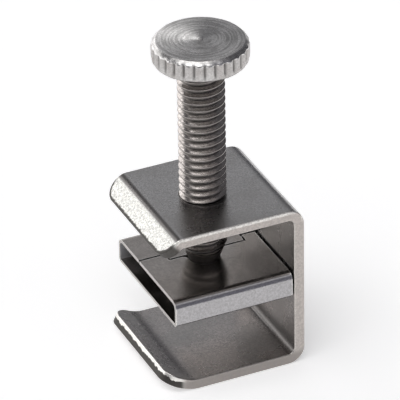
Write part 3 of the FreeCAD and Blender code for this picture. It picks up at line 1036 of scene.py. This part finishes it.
    def shank(self) -> Piece:
        """Model the thread, cut its tail to a cone and add the neck and button."""
        first = math.floor(self.neck_top / self.pitch) - 1
        last = math.ceil(self.under / self.pitch) + 2
        points = [(radius, height + first * self.pitch) for radius, height in self.thread_profile()]
        piece = Bench.line("thumbscrew_shank", points)
        Bench.turn(piece, self.flats_per_turn, self.pitch, last - first)
        inside_head = self.under + self.head_thick / 2
        with Bench.editing(piece):
            for level, facing in ((inside_head, 1), (self.neck_top, -1)):
                plane = {"plane_co": (0, 0, level), "plane_no": (0, 0, facing)}
                bpy.ops.mesh.select_all(action="SELECT")
                bpy.ops.mesh.bisect(**plane, use_fill=True, clear_outer=True, threshold=TINY)
        Bench.outward(piece)
        slope = (self.crest - self.neck) / self.tail_length
        over = self.tail_length + self.pitch
        wide = self.neck + slope * over
        cone = Bench.line("tail_cone", [
            (0, self.neck_top - WELD),
            (self.neck, self.neck_top - WELD),
            (wide, self.neck_top + over),
            (wide, inside_head + self.pitch),
            (0, inside_head + self.pitch),
        ])
        Bench.turn(cone, self.flats_per_turn)
        Bench.outward(cone)
        Bench.modify(piece, "BOOLEAN", operation="INTERSECT", solver="EXACT", object=cone)
        bpy.data.objects.remove(cone)
        self.add_foot(piece)
        return piece

    def add_foot(self, piece: Piece) -> None:
        """Turn the neck and button that hold the jaw, and join them to the shank."""
        button_top = self.neck_top - self.neck_length
        foot = Bench.line("foot", [
            (0, self.low),
            (self.root - self.button_bevel, self.low),
            (self.root, self.low + self.button_bevel),
            (self.root, button_top - self.button_soft),
            (self.root - self.button_soft, button_top),
            (self.neck, button_top),
            (self.neck, self.neck_top + self.foot_overlap),
            (0, self.neck_top + self.foot_overlap),
        ])
        Bench.turn(foot, self.flats_per_turn)
        Bench.outward(foot)
        Bench.clear()
        foot.select_set(True)
        piece.select_set(True)
        bpy.context.view_layer.objects.active = piece
        bpy.ops.object.join()

    def build(self, effects: Effects) -> None:
        """Build and dress both meshes."""
        head_finish = HeadFinish(
            name="turned_head_nickel", clean=(0.90, 0.88, 0.87), stained=(0.66, 0.65, 0.64),
            roughness=0.25, stain_roughness=0.33, peel_height=0.005 * MM, stain_scale=420.0,
            cavity=(self.radius - self.ridge_depth, self.radius - 0.25 * self.ridge_depth),
            scratch=0.7, ring_height=0.0015 * MM, side_below=self.face - self.top_bevel,
        )
        thread_finish = ThreadFinish(
            name="threaded_shank_nickel", clean=(0.68, 0.63, 0.60), stained=(0.52, 0.48, 0.46),
            roughness=0.15, stain_roughness=0.24, peel_height=0.004 * MM, stain_scale=700.0,
            cavity=(self.root + 0.04 * MM, self.root + 0.27 * MM), scratch=0.2,
            speckle=Coat((0.16, 0.14, 0.13), 0.55), edge_wear_and_highlight=Coat(POLISH_AND_HIGHLIGHT, 0.3),
            crest_radius=self.crest, tail_shadow_below=self.neck_top + self.tail_length,
        )
        head, shank = self.head(), self.shank()
        Bench.finish(head, Body.SCREW, Node.SCREW, Slot.SCREW, head_finish.material(effects))
        Bench.finish(shank, Body.SCREW, Node.SCREW, Slot.SCREW, thread_finish.material(effects))


@dataclass(frozen=True)
class SheetPiece:
    """A bent or folded piece, which keeps its solid."""

    node: Node
    finish: Plating

    def build(self, frame: dict, effects: Effects) -> None:
        """Give the solid its finish."""
        piece = frame["nodes"][self.node.value]
        material = self.finish.material(effects)
        piece.data.materials.clear()
        piece.data.materials.append(material)
        LOG.info("%s dressed in %s", self.node.value, material.name)


BRACKET = SheetPiece(Node.BRACKET, BracketFinish(
    name="bracket_satin_nickel", clean=(0.53, 0.52, 0.52), stained=(0.42, 0.41, 0.405),
    roughness=0.24, stain_roughness=0.31, peel_height=0.0035 * MM, grain_height=0.003 * MM,
    stain_scale=190.0, seed=3.1,
))
PRESSURE_JAW = SheetPiece(Node.JAW, JawFinish(
    name="jaw_bright_nickel", clean=(0.50, 0.465, 0.44), stained=(0.36, 0.335, 0.315),
    roughness=0.19, stain_roughness=0.27, peel_height=0.002 * MM, grain_height=0.002 * MM,
    stain_scale=220.0, seed=7.7,
))


# --- studio ---


@dataclass(frozen=True)
class Panel:
    """A soft light panel far away.

    Heading is measured from +Y towards +X, in degrees; the panel is full inside `inner` and gone at `outer`.
    """

    heading: float
    elevation: float
    inner: float
    outer: float
    strength: float
    tint: Colour = (1.0, 1.0, 1.0)

    def direction(self) -> Vector:
        """Point from the object to the panel."""
        heading, up = math.radians(self.heading), math.radians(self.elevation)
        return Vector((math.sin(heading) * math.cos(up), math.cos(heading) * math.cos(up), math.sin(up)))


@dataclass
class Studio:
    """A pale floor, a white sweep, soft light panels and the camera."""

    azimuth: float = math.radians(24.19)
    elevation: float = math.radians(31.6)
    roll: float = math.radians(-1.03)
    distance: float = 0.5465
    aim_height: float = 0.02136
    aim_side: float = -0.000366
    lens: float = 397.35
    sensor: float = 36.0
    clip: tuple[float, float] = (0.01, 20.0)
    floor_size: float = 3.0
    floor_colour: Colour = (0.92, 0.92, 0.92)
    floor_roughness: float = 0.9
    floor_glow: float = 0.40
    panels: tuple[Panel, ...] = (
        Panel(150, 52, 5, 12, 0.75, (0.95, 0.95, 1.0)),
        Panel(157, 14, 10, 34, 0.14, (0.80, 0.80, 1.0)),
        Panel(-160, 60, 12, 18, 1.9),
        Panel(-125, 58, 13, 19, 1.9),
        Panel(24, 34, 4, 24, 0.32, (0.98, 0.99, 1.0)),
        Panel(0, 90, 8, 36, 0.24, (1.0, 0.91, 0.85)),
        Panel(-23, 38, 5, 9, 2.5),
        Panel(-90, 58, 8, 22, 1.5),
    )
    sweep_heading: float = math.radians(-32)
    sweep_half_width: float = math.radians(50)
    sweep_side_fade: float = 0.12
    sweep_top: float = 0.46
    sweep_top_fade: float = 0.04
    sweep_strength: float = 1.75
    surround: Colour = (0.12, 0.12, 0.13)

    def build(self) -> None:
        """Make everything in the studio."""
        bpy.context.scene.view_settings.view_transform = "Standard"
        self.camera()
        self.floor()
        self.world()

    def axes(self) -> tuple[Vector, Vector, Vector]:
        """Give the camera's right, up and backward directions before its roll."""
        a, e = self.azimuth, self.elevation
        back = Vector((-math.sin(a) * math.cos(e), -math.cos(a) * math.cos(e), math.sin(e)))
        right = Vector((math.cos(a), -math.sin(a), 0))
        return right, back.cross(right), back

    def camera(self) -> None:
        """Place the camera."""
        right, up, back = self.axes()
        data = bpy.data.cameras.new("camera")
        data.lens = self.lens
        data.sensor_width = self.sensor
        data.clip_start, data.clip_end = self.clip
        camera = bpy.data.objects.new("camera", data)
        bpy.context.scene.collection.objects.link(camera)
        c, s = math.cos(self.roll), math.sin(self.roll)
        side, top = right * c + up * s, up * c - right * s
        matrix = Matrix((side, top, back)).transposed().to_4x4()
        matrix.translation = Vector((0, 0, self.aim_height)) + right * self.aim_side + back * self.distance
        camera.matrix_world = matrix
        bpy.context.scene.camera = camera

    def floor(self) -> None:
        """Lay a plain pale floor that glows faintly, as a light table does."""
        Bench.clear()
        bpy.ops.mesh.primitive_plane_add(size=self.floor_size, location=(0, 0, 0))
        floor = bpy.context.object
        floor.name = "floor"
        material = bpy.data.materials.new("pale_floor")
        material.use_nodes = True
        shader = material.node_tree.nodes["Principled BSDF"]
        shader.inputs["Base Color"].default_value = (*self.floor_colour, 1)
        shader.inputs["Roughness"].default_value = self.floor_roughness
        shader.inputs["Specular IOR Level"].default_value = 0.0
        shader.inputs["Emission Color"].default_value = (1, 1, 1, 1)
        shader.inputs["Emission Strength"].default_value = self.floor_glow
        floor.data.materials.append(material)

    def backdrop(self, graph: Graph, ray: Socket) -> Socket:
        """Give a direction's colour: a white paper sweep curved up behind the object, or the dim room."""
        way = graph.split(ray)
        level = graph.math("SQRT", graph.less(1.0001, graph.times(way.z, way.z)))
        east = graph.times(way.x, math.sin(self.sweep_heading))
        towards = graph.math("ADD", east, graph.times(way.y, math.cos(self.sweep_heading)))
        none = math.cos(self.sweep_half_width + self.sweep_side_fade)
        full = math.cos(self.sweep_half_width - self.sweep_side_fade)
        wide = graph.ramp(graph.math("DIVIDE", towards, level), none, full)
        low = graph.ramp(way.z, self.sweep_top + self.sweep_top_fade, self.sweep_top - self.sweep_top_fade)
        return graph.blend(graph.times(wide, low), self.surround, (self.sweep_strength,) * 3)

    def world(self) -> None:
        """Light the room with the sweep and the panels, on a dim surround."""
        world = bpy.data.worlds.new("studio")
        bpy.context.scene.world = world
        world.use_nodes = True
        graph = Graph(world.node_tree)
        ray = graph.add("ShaderNodeTexCoord").outputs["Generated"]
        total = self.backdrop(graph, ray)
        for panel in self.panels:
            low, high = math.cos(math.radians(panel.outer)), math.cos(math.radians(panel.inner))
            facing = graph.vector("DOT_PRODUCT", ray, panel.direction()).outputs["Value"]
            light = tuple(panel.strength * part for part in panel.tint)
            glow = graph.vector("SCALE", light, graph.ramp(facing, low, high))
            total = graph.vector("ADD", total, glow.outputs["Vector"]).outputs["Vector"]
        background = graph.add("ShaderNodeBackground")
        graph.feed(background.inputs["Color"], total)
        background.inputs["Strength"].default_value = 1.0
        out = graph.add("ShaderNodeOutputWorld")
        graph.feed(out.inputs["Surface"], background.outputs["Background"])


def main() -> None:
    """Build the clamp's looks around the frame."""
    logging.basicConfig(level=logging.INFO, format="%(name)s: %(message)s")
    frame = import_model()
    Bench.clear()
    effects = Effects()
    low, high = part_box(Node.SCREW.value)
    Studio().build()
    BRACKET.build(frame, effects)
    PRESSURE_JAW.build(frame, effects)
    Thumbscrew(top=high[2], radius=high[0], low=low[2]).build(effects)


if __name__ == "__main__":
    main()
